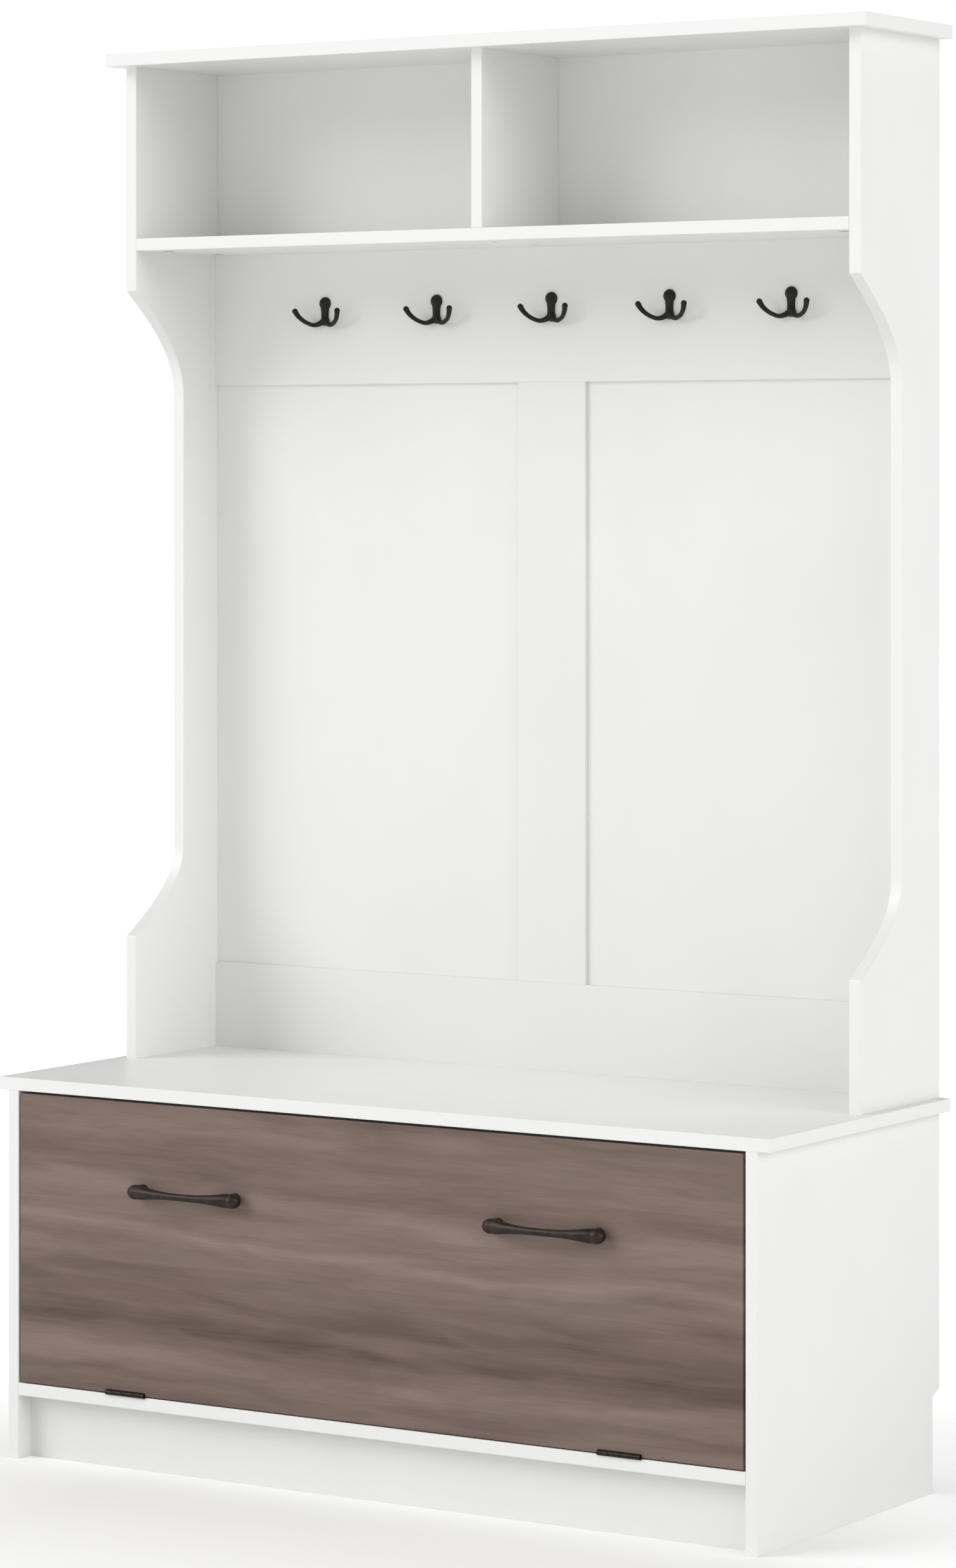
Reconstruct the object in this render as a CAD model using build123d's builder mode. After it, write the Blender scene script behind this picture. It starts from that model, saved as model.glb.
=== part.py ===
"""Hall tree: a storage bench with a drop-front door, and a hutch with two cubbies and coat hooks.

Millimetres. +X is to the right, +Y to the wall, +Z up. The origin is on the floor, in the
middle of the width and of the depth over the handles.
"""
import math
import os

from build123d import *

os.makedirs("parts", exist_ok=True)

# ---------------------------------------------------------------- driving dimensions
board = 15.0                 # thickness of every melamine-faced board
sheet = 3.0                  # thickness of the thin back panels
edge_round = 0.8             # rounding of the edge banding
groove_play = 0.2            # width of a back panel's groove over the sheet
groove_depth = 8.0
side_groove_depth = 6.0
panel_tuck = 0.5             # play at the bottom of a groove
panel_air = 0.1              # between the hutch's divider and its back

body_width = 1015.0          # over the side panels
bench_depth = 420.0
seat_height = 449.0          # top of the seat board
seat_overhang = 14.0         # past each side panel
total_height = 1671.0        # top of the top board
hutch_depth = 188.0
top_overhang_side = 17.0
top_overhang_front = 19.0

plinth_height = 75.0         # underside of the bench floor
kick_setback = 24.0
skirting_depth = 17.0        # cut-out that clears a room's skirting board
skirting_height = 118.0
skirting_slope = 8.0

cubby_floor = 1447.0         # top of the shelf
hook_rail_foot = 1270.0
lower_rail_head = 554.0
stile_width = 94.0
rail_face = 22.0             # front of the rails, measured forward from the wall side
panel_face = 17.5            # front of the recessed panels, measured the same way
bench_back_face = 22.0

waist_depth = 90.0           # narrow stretch of the hutch sides
ogee_top = 1383.0            # where the upper curve starts
ogee_top_waist = 1258.0      # where it meets the narrow stretch
ogee_low_waist = 702.0
ogee_low = 598.0
ogee_tip_r = 3.0
ogee_rise = 0.38             # control points, as shares of a curve's height and depth
ogee_bow = 0.46
ogee_bow_rise = 0.69

handle_projection = 24.0
handle_height = 329.5        # above the floor
handle_x = 244.0
handle_foot_x = 70.0         # foot and screw, from the handle's middle
handle_screw_r = 2.0
handle_bite = 8.0            # screw length inside the handle's foot

hook_pitch = 163.5
hook_count = 5
hook_centre_height = 1361.0
hook_plate = 4.0             # thickness of the pear-shaped plate
hook_head_r = 8.0
hook_head_z = 8.5            # plate's upper circle, from the hook's middle
hook_foot_r = 6.0
hook_foot_z = -13.0
hook_neck_half = 4.6
hook_plate_round = 1.4
hook_arm_r = 2.6
hook_tip_r = 3.6
hook_screw_zs = (8.5, -3.5)
hook_head_sink = 0.3         # screw head below the plate's face
# Middle line of a hook's right arm: sideways, behind the rail's front, above the hook's middle.
hook_arm_line = (
    (0.0, -2.5, -13.0),
    (13.2, -7.4, -17.8),
    (22.0, -11.8, -14.0),
    (28.2, -17.0, -7.6),
    (31.2, -20.6, -1.0),
)
hook_arm_start_way = (0.5, -0.5, -0.4)
hook_arm_end_way = (0.25, -0.3, 1.0)

hinge_x = 335.0
hinge_length = 55.0
hinge_leaf = 1.0             # sheet metal thickness
hinge_leaf_gap = 0.3
hinge_let_in = 0.5           # depth of each leaf in its board
hinge_axis_out = 1.0         # in front of the boards
hinge_axis_up = 2.0          # above the bottom board
hinge_barrel_r = 3.0
hinge_pin_r = 1.5
hinge_air = 0.3              # between knuckles
hinge_notch_air = 0.4        # between the barrel and the notch in each board
hinge_pocket_play = 0.2
frame_leaf_depth = 21.0
door_leaf_depth = 13.0
frame_leaf_screw = 14.0      # behind the front of the boards
door_leaf_screw = 8.0
hinge_screw_dxs = (-18.0, 18.0)
running = 0.06               # radial clearance of a pin that turns in its hole

door_side_gap = 3.0
door_top_gap = 3.0
door_stop_air = 1.0          # between the closed door and the seat rail

stay_reach = 200.0           # both arms of a stay, along the floor and up the door
stay_frame_rise = 30.0       # frame pivot above the hinge axis
stay_door_offset = 28.0      # door pivot behind the hinge axis
stay_metal = 2.0
stay_half_width = 8.0
stay_stud_r = 3.0
stay_air = 0.4               # between an arm and its neighbour
stay_lug_x = 481.0           # outer face of the lug on the door
stud_head_r = 5.0
stud_head = 1.2
stud_root = 0.5              # stud length inside its arm
elbow_play = 0.12
bracket_metal = 1.5
bracket_half = 22.0
bracket_corner_r = 5.0
bracket_screw = 14.0         # each side of the bracket's middle
frame_bracket_half_height = 9.0
door_bracket_width = 22.0
lug_step = 12.0              # lug's edge, in from the bracket's
lug_corner_r = 6.0

catch_x = 400.0
catch_length = 46.0
catch_height = 13.0
catch_depth = 18.0
catch_housing_half = 11.0
catch_flange = 3.0
catch_floor = 3.0            # housing wall under the magnet
catch_corner_r = 1.5
catch_air = 1.2              # between the housing and the door
catch_screw = 15.0           # each side of the catch's middle
magnet_half = 9.0
magnet_depth = 11.0
magnet_play = 0.1
magnet_roof = 4.0            # below the top of the catch
strike_metal = 1.0
strike_half = 20.0
strike_height = 12.0
strike_corner_r = 4.0
strike_screw = 14.0

wall_bracket_x = 300.0
wall_bracket_half = 9.0
wall_bracket_depth = 20.0
wall_bracket_rise = 14.0
wall_bracket_corner_r = 4.0
wall_bracket_screw = 11.0    # its upright screw, in from the wall
wall_hole_r = 2.2
wall_hole_rise = 8.5

# Places of the hidden joints.
floor_cam_inset = 60.0       # from the front and from the back panel
floor_dowel_inset = 110.0
kick_cam_height = 51.0
kick_dowel_height = 18.75
seat_rail_height = 50.0
seat_rail_cam_drop = 33.0    # below the seat board
seat_rail_dowel_drop = 11.0
back_rail_height = 80.0
back_rail_cam_drop = 56.0
back_rail_dowel_drop = 24.0
shelf_cam_front = 35.0       # behind the shelf's front
shelf_cam_rear = 30.0        # in front of the hook rail
hook_rail_cam_dzs = (-50.0, 50.0)
lower_rail_joint_dz = 25.0
seat_cam_front = 90.0
seat_cam_rear = 70.0
seat_dowel_front = 140.0
seat_dowel_rear = 120.0
hutch_foot_front = 30.0
hutch_foot_rear = 60.0
stile_dowel_xs = (-25.0, 25.0)
divider_inset = 100.0
top_screw_front = 35.0
top_screw_rear = 55.0
shelf_screw_front = 40.0
shelf_screw_rear = 60.0
lower_rail_screw_xs = (-360.0, -120.0, 120.0, 360.0)

# ---------------------------------------------------------------- derived places
rear = (bench_depth + handle_projection) / 2
front = rear - bench_depth
side_out = body_width / 2
side_in = side_out - board
seat_under = seat_height - board
top_under = total_height - board
bench_floor = plinth_height + board
shelf_under = cubby_floor - board
hutch_front = rear - hutch_depth
rail_front = rear - rail_face
rail_back = rail_front + board
panel_front = rear - panel_face
panel_mid = panel_front + sheet / 2
bench_back = rear - bench_back_face

groove = sheet + groove_play
groove_low = panel_mid - groove / 2
groove_high = panel_mid + groove / 2

axis_z = bench_floor + hinge_axis_up
axis_y = front - hinge_axis_out
frame_leaf_top = bench_floor + hinge_leaf - hinge_let_in
door_leaf_foot = frame_leaf_top + hinge_leaf_gap
door_leaf_top = door_leaf_foot + hinge_leaf
door_foot = door_leaf_top - hinge_let_in
door_head = seat_under - door_top_gap
door_back = front + board

SIDES = (("left", -1), ("right", 1))
FROM_BASE = (Align.CENTER, Align.CENTER, Align.MIN)
TURN = {
    "+X": (0, 90, 0),
    "-X": (0, -90, 0),
    "+Y": (-90, 0, 0),
    "-Y": (90, 0, 0),
    "+Z": (0, 0, 0),
    "-Z": (180, 0, 0),
}

# ---------------------------------------------------------------- fasteners
cam_r = 7.5
cam_depth = 12.0
cam_reach = 24.0             # cam's centre from the board's end
cam_play = 0.1
cam_bolt_r = 3.0
cam_bolt_bite = 11.0         # bolt length in the side panel
cam_bolt_hole_r = 4.0
dowel_r = 4.0
dowel_half = 11.0
confirmat_r = 3.0
confirmat_head_r = 4.6
confirmat_head = 3.0
confirmat_length = 48.0
screw_r = 1.6
screw_head_r = 3.2
screw_head = 1.8
screw_length = 12.0
screw_play = 0.5             # hole depth past a screw's tip
head_play = 0.1              # radial, between a head and its seat
cross_length = 3.8           # crossed slots in a small screw's head
cross_width = 0.8
cross_depth = 0.7
handle_head = 2.4
handle_cross_length = 5.6
handle_cross_width = 1.0
handle_cross_depth = 1.0
socket_width = 3.4           # square socket of a confirmat screw
socket_depth = 1.5
cam_wall = 1.0               # cam metal left round the bolt's end
cam_slot_length = 8.0
cam_slot_width = 1.6
cam_slot_depth = 0.8
cam_bolt_short = 5.0         # bolt's end, before the cam's centre


def slab(x_low, x_high, y_low, y_high, z_low, z_high):
    """Add a rectangular board between six limits."""
    centre = ((x_low + x_high) / 2, (y_low + y_high) / 2, (z_low + z_high) / 2)
    with Locations(centre):
        Box(x_high - x_low, y_high - y_low, z_high - z_low)


def cut(x_low, x_high, y_low, y_high, z_low, z_high):
    """Remove a rectangular block between six limits."""
    centre = ((x_low + x_high) / 2, (y_low + y_high) / 2, (z_low + z_high) / 2)
    with Locations(centre):
        Box(x_high - x_low, y_high - y_low, z_high - z_low, mode=Mode.SUBTRACT)


def rods(points, way, radius, length, mode=Mode.ADD):
    """Round bars, or holes, that start at the points and run along an axis."""
    if points:
        with Locations(*points):
            Cylinder(radius, length, rotation=TURN[way], align=FROM_BASE, mode=mode)


def drill(points, way, radius, depth):
    rods(points, way, radius, depth, Mode.SUBTRACT)


def save(builder, name):
    """Label a finished piece and write it."""
    builder.part.label = name
    export_step(builder.part, f"parts/{name}.step")


def step(point, way, distance):
    """The point moved along a signed axis."""
    sign = 1 if way[0] == "+" else -1
    x, y, z = point
    moves = {"X": (sign * distance, 0, 0), "Y": (0, sign * distance, 0), "Z": (0, 0, sign * distance)}
    dx, dy, dz = moves[way[1]]
    return (x + dx, y + dy, z + dz)


def opposite(way):
    return ("-" if way[0] == "+" else "+") + way[1]


# ---------------------------------------------------------------- seams between the boards
floor_mid = plinth_height + board / 2
shelf_mid = shelf_under + board / 2
kick_front = front + kick_setback
kick_mid = kick_front + board / 2
rear_kick_mid = bench_back - board / 2
seat_rail_front = door_back + door_stop_air
seat_rail_mid = seat_rail_front + board / 2
back_rail_mid = bench_back - board / 2
rail_mid = (rail_front + rail_back) / 2
lower_rail_mid_z = (seat_height + lower_rail_head) / 2
hook_rail_mid_z = (hook_rail_foot + shelf_under) / 2
side_mid = side_out - board / 2


def inward(sign):
    return "-X" if sign > 0 else "+X"


def floor_cams(sign):
    ys = (front + floor_cam_inset, bench_back - floor_cam_inset)
    return [(sign * side_in, y, floor_mid) for y in ys]


def floor_dowels(sign):
    ys = (front + floor_dowel_inset, bench_back - floor_dowel_inset)
    return [(sign * side_in, y, floor_mid) for y in ys]


def kick_cams(sign, y):
    return [(sign * side_in, y, kick_cam_height)]


def kick_dowels(sign, y):
    return [(sign * side_in, y, kick_dowel_height)]


def seat_rail_cams(sign):
    return [(sign * side_in, seat_rail_mid, seat_under - seat_rail_cam_drop)]


def seat_rail_dowels(sign):
    return [(sign * side_in, seat_rail_mid, seat_under - seat_rail_dowel_drop)]


def back_rail_cams(sign):
    return [(sign * side_in, back_rail_mid, seat_under - back_rail_cam_drop)]


def back_rail_dowels(sign):
    return [(sign * side_in, back_rail_mid, seat_under - back_rail_dowel_drop)]


def shelf_cams(sign):
    ys = (hutch_front + shelf_cam_front, rail_front - shelf_cam_rear)
    return [(sign * side_in, y, shelf_mid) for y in ys]


def shelf_dowels(sign):
    return [(sign * side_in, (hutch_front + rail_front) / 2, shelf_mid)]


def hook_rail_cams(sign):
    return [(sign * side_in, rail_mid, hook_rail_mid_z + dz) for dz in hook_rail_cam_dzs]


def hook_rail_dowels(sign):
    return [(sign * side_in, rail_mid, hook_rail_mid_z)]


def lower_rail_cams(sign):
    return [(sign * side_in, rail_mid, lower_rail_mid_z - lower_rail_joint_dz)]


def lower_rail_dowels(sign):
    return [(sign * side_in, rail_mid, lower_rail_mid_z + lower_rail_joint_dz)]


def seat_cams(sign):
    ys = (front + seat_cam_front, bench_back - seat_cam_rear)
    return [(sign * side_mid, y, seat_under) for y in ys]


def seat_dowels(sign):
    ys = (front + seat_dowel_front, bench_back - seat_dowel_rear)
    return [(sign * side_mid, y, seat_under) for y in ys]


def hutch_foot_dowels(sign):
    ys = (hutch_front + hutch_foot_front, rear - hutch_foot_rear)
    return [(sign * side_mid, y, seat_height) for y in ys]


stile_head_dowels = [(x, rail_mid, hook_rail_foot) for x in stile_dowel_xs]
stile_foot_dowels = [(x, rail_mid, lower_rail_head) for x in stile_dowel_xs]
bench_divider_ys = (front + divider_inset, bench_back - divider_inset)
bench_divider_dowels = [(0, y, seat_under) for y in bench_divider_ys]

# Confirmat screws: (point under the head's top, way the screw points).
hutch_top_screws = [
    (x, y, total_height)
    for x in (-side_mid, 0, side_mid)
    for y in (hutch_front + top_screw_front, rear - top_screw_rear)
]
shelf_divider_screws = [
    (0, y, shelf_under) for y in (hutch_front + shelf_screw_front, rear - shelf_screw_rear)
]
floor_divider_screws = [(0, y, plinth_height) for y in bench_divider_ys]
lower_rail_screws = [(x, rail_mid, seat_under) for x in lower_rail_screw_xs]
confirmat_sets = (
    (hutch_top_screws, "-Z"),
    (shelf_divider_screws, "+Z"),
    (floor_divider_screws, "+Z"),
    (lower_rail_screws, "+Z"),
)


def cam_pockets(points, way, opens):
    """Cut a cam's round pocket and the bolt's passage in the board that holds the cam."""
    drill(points, way, cam_bolt_hole_r, cam_reach)
    mouths = [step(step(p, way, cam_reach), opens, board / 2) for p in points]
    drill(mouths, opposite(opens), cam_r + cam_play, cam_depth + cam_play)


def panel_side_holes(points, way):
    """Cut the bolt holes of cam joints in the panel that takes the bolts."""
    drill(points, way, cam_bolt_r, cam_bolt_bite)


def dowel_holes(points, way):
    drill(points, way, dowel_r, dowel_half)


# Small screws: the points where they enter the board.
def stay_screws(sign):
    y, z = axis_y + stay_reach, axis_z + stay_frame_rise
    return [(sign * side_in, y + dy, z) for dy in (-bracket_screw, bracket_screw)]


def catch_screws(sign):
    z = seat_under - seat_rail_height
    return [(sign * catch_x + dx, seat_rail_mid, z) for dx in (-catch_screw, catch_screw)]


def frame_leaf_screws(sign):
    y, z = front + frame_leaf_screw, bench_floor - hinge_let_in
    return [(sign * hinge_x + dx, y, z) for dx in hinge_screw_dxs]


def door_leaf_screws(sign):
    y, z = front + door_leaf_screw, door_foot + hinge_let_in
    return [(sign * hinge_x + dx, y, z) for dx in hinge_screw_dxs]


def wall_bracket_screws(sign):
    return [(sign * wall_bracket_x, rear - wall_bracket_screw, total_height)]


def door_bracket_screws(sign):
    x, z = sign * (stay_lug_x - door_bracket_width / 2), axis_z + stay_reach
    return [(x, door_back, z + dz) for dz in (-bracket_screw, bracket_screw)]


def strike_screws(sign):
    z = seat_under - seat_rail_height - catch_height / 2
    return [(sign * catch_x + dx, door_back, z) for dx in (-strike_screw, strike_screw)]


def handle_screws(sign):
    return [(sign * handle_x + dx, front, handle_height) for dx in (-handle_foot_x, handle_foot_x)]


def hinge_recess(sign, leaf_depth, low, high):
    """Cut the shallow pocket of a hinge leaf and the round notch for the barrel in a board."""
    half = hinge_length / 2 + hinge_pocket_play
    middle = sign * hinge_x
    cut(middle - half, middle + half, axis_y, front + leaf_depth + hinge_pocket_play, low, high)
    drill([(middle - half, axis_y, axis_z)], "+X", hinge_barrel_r + hinge_notch_air, 2 * half)


# ---------------------------------------------------------------- bench carcass
for name, sign in SIDES:
    out_way = opposite(inward(sign))
    with BuildPart() as bench_side:
        low_x = min(sign * side_in, sign * side_out)
        with BuildSketch(Plane.YZ.offset(low_x)):
            with BuildLine():
                Polyline(
                    (front, 0),
                    (rear - skirting_depth, 0),
                    (rear - skirting_depth, skirting_height - skirting_slope),
                    (rear, skirting_height),
                    (rear, seat_under),
                    (front, seat_under),
                    close=True,
                )
            make_face()
        extrude(amount=board)
        fillet(bench_side.edges().filter_by(Axis.Z).group_by(Axis.Y)[0], edge_round)
        groove_x = sorted((sign * side_in, sign * (side_in + side_groove_depth)))
        cut(*groove_x, bench_back, bench_back + groove, plinth_height, seat_under)
        panel_side_holes(floor_cams(sign), out_way)
        dowel_holes(floor_dowels(sign), out_way)
        for y in (kick_mid, rear_kick_mid):
            panel_side_holes(kick_cams(sign, y), out_way)
            dowel_holes(kick_dowels(sign, y), out_way)
        panel_side_holes(seat_rail_cams(sign), out_way)
        dowel_holes(seat_rail_dowels(sign), out_way)
        panel_side_holes(back_rail_cams(sign), out_way)
        dowel_holes(back_rail_dowels(sign), out_way)
        cam_pockets(seat_cams(sign), "-Z", inward(sign))
        dowel_holes(seat_dowels(sign), "-Z")
        drill(stay_screws(sign), out_way, screw_r, screw_length - bracket_metal)
    save(bench_side, f"bench_side_{name}")

with BuildPart() as bench_top:
    half = side_out + seat_overhang
    slab(-half, half, front, rear, seat_under, seat_height)
    fillet(bench_top.edges().filter_by(Axis.Z).group_by(Axis.Y)[0], 2 * edge_round)
    fillet(bench_top.faces().sort_by(Axis.Z)[-1].edges(), edge_round)
    for name, sign in SIDES:
        panel_side_holes(seat_cams(sign), "+Z")
        dowel_holes(seat_dowels(sign), "+Z")
        dowel_holes(hutch_foot_dowels(sign), "-Z")
    dowel_holes(bench_divider_dowels, "+Z")
    drill(lower_rail_screws, "+Z", confirmat_r, board)
    drill(lower_rail_screws, "+Z", confirmat_head_r, confirmat_head)
save(bench_top, "bench_top")

with BuildPart() as bench_bottom:
    slab(-side_in, side_in, front, bench_back, plinth_height, bench_floor)
    fillet(bench_bottom.edges().filter_by(Axis.X).group_by(Axis.Y)[0], edge_round)
    for name, sign in SIDES:
        cam_pockets(floor_cams(sign), inward(sign), "-Z")
        dowel_holes(floor_dowels(sign), inward(sign))
        hinge_recess(sign, frame_leaf_depth, bench_floor - hinge_let_in, bench_floor)
        drill(frame_leaf_screws(sign), "-Z", screw_r, screw_length - hinge_leaf)
    drill(floor_divider_screws, "+Z", confirmat_r, board)
    drill(floor_divider_screws, "+Z", confirmat_head_r, confirmat_head)
save(bench_bottom, "bench_bottom")

for name, middle, opens in (("kick_board", kick_mid, "+Y"), ("rear_kick_board", rear_kick_mid, "-Y")):
    with BuildPart() as kick:
        slab(-side_in, side_in, middle - board / 2, middle + board / 2, 0, plinth_height)
        for side_name, sign in SIDES:
            cam_pockets(kick_cams(sign, middle), inward(sign), opens)
            dowel_holes(kick_dowels(sign, middle), inward(sign))
    save(kick, name)

with BuildPart() as seat_rail:
    rail_foot = seat_under - seat_rail_height
    slab(-side_in, side_in, seat_rail_front, seat_rail_front + board, rail_foot, seat_under)
    for name, sign in SIDES:
        cam_pockets(seat_rail_cams(sign), inward(sign), "+Y")
        dowel_holes(seat_rail_dowels(sign), inward(sign))
        drill(catch_screws(sign), "+Z", screw_r, screw_length - catch_flange)
save(seat_rail, "seat_rail_front")

with BuildPart() as back_rail:
    slab(-side_in, side_in, bench_back - board, bench_back, seat_under - back_rail_height, seat_under)
    for name, sign in SIDES:
        cam_pockets(back_rail_cams(sign), inward(sign), "-Y")
        dowel_holes(back_rail_dowels(sign), inward(sign))
save(back_rail, "seat_rail_rear")

with BuildPart() as bench_divider:
    with BuildSketch(Plane.YZ.offset(-board / 2)):
        with BuildLine():
            Polyline(
                (seat_rail_front, bench_floor),
                (bench_back, bench_floor),
                (bench_back, seat_under - back_rail_height),
                (bench_back - board, seat_under - back_rail_height),
                (bench_back - board, seat_under),
                (seat_rail_front + board, seat_under),
                (seat_rail_front + board, seat_under - seat_rail_height),
                (seat_rail_front, seat_under - seat_rail_height),
                close=True,
            )
        make_face()
    extrude(amount=board)
    dowel_holes(bench_divider_dowels, "-Z")
    floor_tips = [(x, y, bench_floor) for x, y, z in floor_divider_screws]
    drill(floor_tips, "+Z", confirmat_r, confirmat_length - board)
save(bench_divider, "bench_divider")

with BuildPart() as bench_back_panel:
    tuck = side_in + side_groove_depth - panel_tuck
    slab(-tuck, tuck, bench_back, bench_back + sheet, plinth_height + panel_tuck, seat_under - panel_tuck)
save(bench_back_panel, "bench_back")

# ---------------------------------------------------------------- hutch
hutch_drop = hutch_depth - waist_depth


def ogee(waist_point, out_way, up_way):
    """Control points of the curve from the narrow stretch out to the full depth."""
    y, z = waist_point
    return [
        (y, z),
        (y, z + up_way * ogee_rise),
        (y - out_way * ogee_bow, z + up_way * ogee_bow_rise),
        (y - out_way, z + up_way),
    ]


def is_ogee_tip(vertex):
    """True for the corners where the curves meet the full-depth edge."""
    heights = (ogee_top, ogee_low)
    return any(math.isclose(v, height, abs_tol=0.01) for v in tuple(vertex) for height in heights)


def is_front_edge(edge):
    """True for the shaped front edges, clear of the top board and the seat."""
    middle = edge.center()
    return middle.Y < rear - waist_depth + 1 and seat_height + 1 < middle.Z < top_under - 1


for name, sign in SIDES:
    out_way = opposite(inward(sign))
    waist = rear - waist_depth
    with BuildPart() as hutch_side:
        with BuildSketch(Plane.YZ.offset(min(sign * side_in, sign * side_out))) as outline:
            with BuildLine():
                upper = ogee((waist, ogee_top_waist), hutch_drop, ogee_top - ogee_top_waist)
                lower = ogee((waist, ogee_low_waist), hutch_drop, ogee_low - ogee_low_waist)
                Bezier(*upper)
                Polyline(
                    (hutch_front, ogee_top),
                    (hutch_front, top_under),
                    (rear, top_under),
                    (rear, seat_height),
                    (hutch_front, seat_height),
                    (hutch_front, ogee_low),
                )
                Bezier(*lower)
                Line((waist, ogee_low_waist), (waist, ogee_top_waist))
            make_face()
            corners = outline.vertices().filter_by(is_ogee_tip)
            fillet(corners, ogee_tip_r)
        extrude(amount=board)
        front_edges = hutch_side.faces().filter_by(Axis.X).edges().filter_by(is_front_edge)
        fillet(front_edges, edge_round)
        groove_x = sorted((sign * side_in, sign * (side_in + side_groove_depth)))
        cut(*groove_x, groove_low, groove_high, lower_rail_head - groove_depth, top_under)
        panel_side_holes(shelf_cams(sign), out_way)
        dowel_holes(shelf_dowels(sign), out_way)
        panel_side_holes(hook_rail_cams(sign), out_way)
        dowel_holes(hook_rail_dowels(sign), out_way)
        panel_side_holes(lower_rail_cams(sign), out_way)
        dowel_holes(lower_rail_dowels(sign), out_way)
        dowel_holes(hutch_foot_dowels(sign), "+Z")
        side_screws = [(x, y, top_under) for x, y, z in hutch_top_screws if x * sign > 1]
        drill(side_screws, "-Z", confirmat_r, confirmat_length - board)
    save(hutch_side, f"hutch_side_{name}")

with BuildPart() as hutch_top:
    half = side_out + top_overhang_side
    slab(-half, half, hutch_front - top_overhang_front, rear, top_under, total_height)
    fillet(hutch_top.edges().filter_by(Axis.Z).group_by(Axis.Y)[0], 2 * edge_round)
    for pick in (0, -1):
        fillet(hutch_top.faces().sort_by(Axis.Z)[pick].edges().group_by(Axis.Y)[0], edge_round)
    cut(-side_in, side_in, groove_low, groove_high, top_under, top_under + side_groove_depth)
    drill(hutch_top_screws, "-Z", confirmat_r, board)
    drill(hutch_top_screws, "-Z", confirmat_head_r, confirmat_head)
    for name, sign in SIDES:
        drill(wall_bracket_screws(sign), "-Z", screw_r, screw_length - bracket_metal)
save(hutch_top, "hutch_top")

with BuildPart() as hutch_shelf:
    slab(-side_in, side_in, hutch_front, rail_back, shelf_under, cubby_floor)
    fillet(hutch_shelf.edges().filter_by(Axis.X).group_by(Axis.Y)[0], edge_round)
    cut(-side_in, side_in, groove_low, groove_high, cubby_floor - side_groove_depth, cubby_floor)
    for name, sign in SIDES:
        cam_pockets(shelf_cams(sign), inward(sign), "-Z")
        dowel_holes(shelf_dowels(sign), inward(sign))
    drill(shelf_divider_screws, "+Z", confirmat_r, board)
    drill(shelf_divider_screws, "+Z", confirmat_head_r, confirmat_head)
save(hutch_shelf, "hutch_shelf")

with BuildPart() as hutch_divider:
    slab(-board / 2, board / 2, hutch_front, panel_front - panel_air, cubby_floor, top_under)
    fillet(hutch_divider.edges().filter_by(Axis.Z).group_by(Axis.Y)[0], edge_round)
    top_tips = [(x, y, top_under) for x, y, z in hutch_top_screws if x == 0]
    drill(top_tips, "-Z", confirmat_r, confirmat_length - board)
    shelf_tips = [(x, y, cubby_floor) for x, y, z in shelf_divider_screws]
    drill(shelf_tips, "+Z", confirmat_r, confirmat_length - board)
save(hutch_divider, "hutch_divider")

with BuildPart() as cubby_back:
    tuck = side_in + side_groove_depth - panel_tuck
    low = cubby_floor - side_groove_depth + panel_tuck
    high = top_under + side_groove_depth - panel_tuck
    slab(-tuck, tuck, panel_front, panel_front + sheet, cubby_floor, top_under)
    slab(-side_in + 1, side_in - 1, panel_front, panel_front + sheet, low, high)
save(cubby_back, "cubby_back")

hook_xs = [(i - (hook_count - 1) / 2) * hook_pitch for i in range(hook_count)]
hook_spots = [(x, rail_front, hook_centre_height + z) for x in hook_xs for z in hook_screw_zs]
with BuildPart() as hook_rail:
    slab(-side_in, side_in, rail_front, rail_back, hook_rail_foot, shelf_under)
    cut(-side_in, side_in, groove_low, groove_high, hook_rail_foot, hook_rail_foot + groove_depth)
    for name, sign in SIDES:
        cam_pockets(hook_rail_cams(sign), inward(sign), "+Y")
        dowel_holes(hook_rail_dowels(sign), inward(sign))
    dowel_holes(stile_head_dowels, "+Z")
    drill(hook_spots, "+Y", screw_r, screw_length)
save(hook_rail, "hook_rail")

with BuildPart() as centre_stile:
    half = stile_width / 2
    slab(-half, half, rail_front, rail_back, lower_rail_head, hook_rail_foot)
    for edge_x in ((-half, -half + groove_depth), (half - groove_depth, half)):
        cut(*edge_x, groove_low, groove_high, lower_rail_head, hook_rail_foot)
    dowel_holes(stile_head_dowels, "-Z")
    dowel_holes(stile_foot_dowels, "+Z")
save(centre_stile, "centre_stile")

with BuildPart() as lower_rail:
    slab(-side_in, side_in, rail_front, rail_back, seat_height, lower_rail_head)
    cut(-side_in, side_in, groove_low, groove_high, lower_rail_head - groove_depth, lower_rail_head)
    for name, sign in SIDES:
        cam_pockets(lower_rail_cams(sign), inward(sign), "+Y")
        dowel_holes(lower_rail_dowels(sign), inward(sign))
    dowel_holes(stile_foot_dowels, "-Z")
    rail_tips = [(x, y, seat_height) for x, y, z in lower_rail_screws]
    drill(rail_tips, "+Z", confirmat_r, confirmat_length - board)
save(lower_rail, "lower_rail")

for name, sign in SIDES:
    with BuildPart() as back_panel:
        inner = stile_width / 2 - groove_depth + panel_tuck
        outer = side_in + side_groove_depth - panel_tuck
        reach = groove_depth - panel_tuck
        xs = sorted((sign * inner, sign * outer))
        slab(*xs, panel_front, panel_front + sheet, lower_rail_head - reach, hook_rail_foot + reach)
    save(back_panel, f"back_panel_{name}")

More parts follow.
